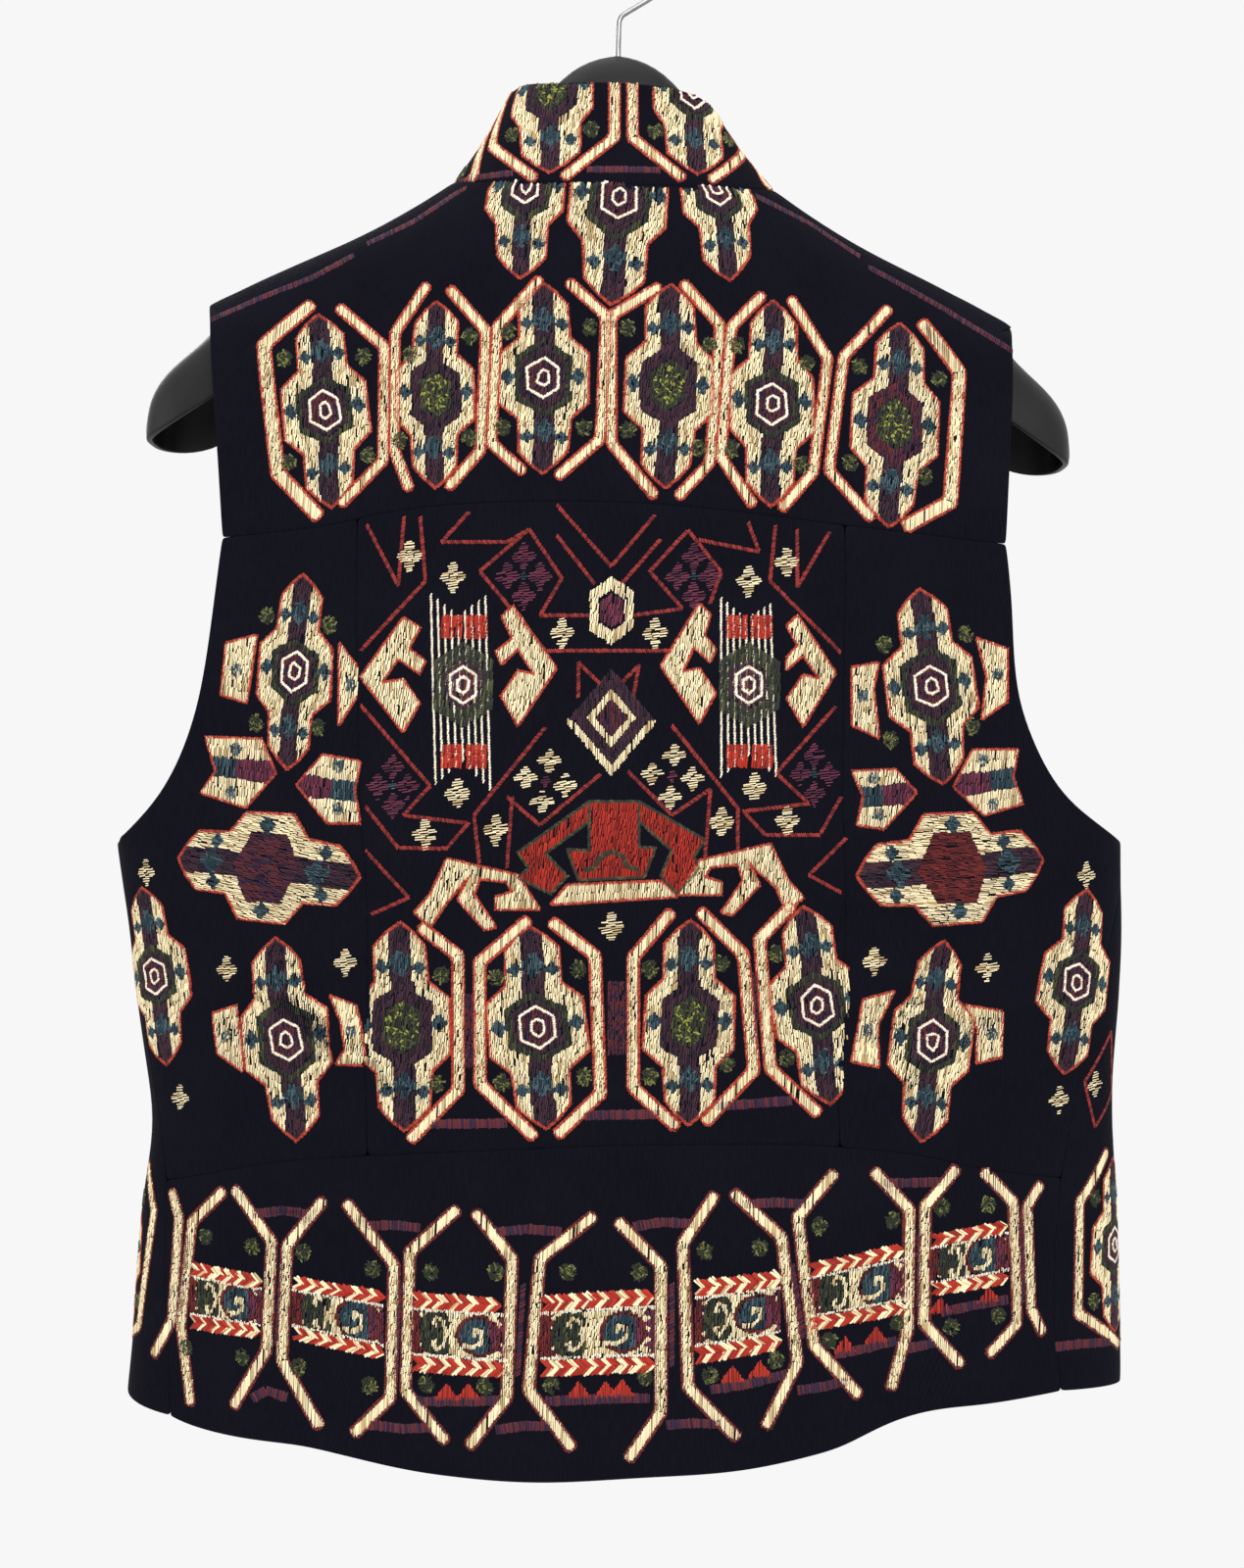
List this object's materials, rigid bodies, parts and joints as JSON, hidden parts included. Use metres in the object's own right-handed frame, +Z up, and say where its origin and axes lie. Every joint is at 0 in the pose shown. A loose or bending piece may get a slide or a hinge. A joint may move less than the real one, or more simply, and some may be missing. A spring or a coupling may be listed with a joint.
{
  "type": "vest on a hanger",
  "caption": "Short sleeveless folk vest with a stand collar and an embroidered panelled back, hanging on a broad moulded hanger with a wire hook.",
  "frame": {"origin": "the inside of the hook's crown, where the rail would carry it", "axes": "+Z up, +Y out of the embroidered back of the vest, -Y out of its front, +X towards the wearer's left"},
  "size_m": [0.4846, 0.1323, 0.7818],
  "materials": {
    "cloth": "ink-navy cotton twill, matt, with wool and cotton embroidery in cream, red, maroon, purple, olive and teal",
    "hanger_plastic": "charcoal moulded plastic with a fine grain and a soft shine",
    "hook_wire": "chromed wire"
  },
  "bodies": {
    "root": {"back_yoke": "cloth", "back_centre": "cloth", "back_side_left": "cloth", "back_side_right": "cloth", "back_hem_band": "cloth", "front_left": "cloth", "front_right": "cloth", "collar": "cloth", "hanger_body": "hanger_plastic", "hanger_hook": "hook_wire"}
  },
  "joints": []
}
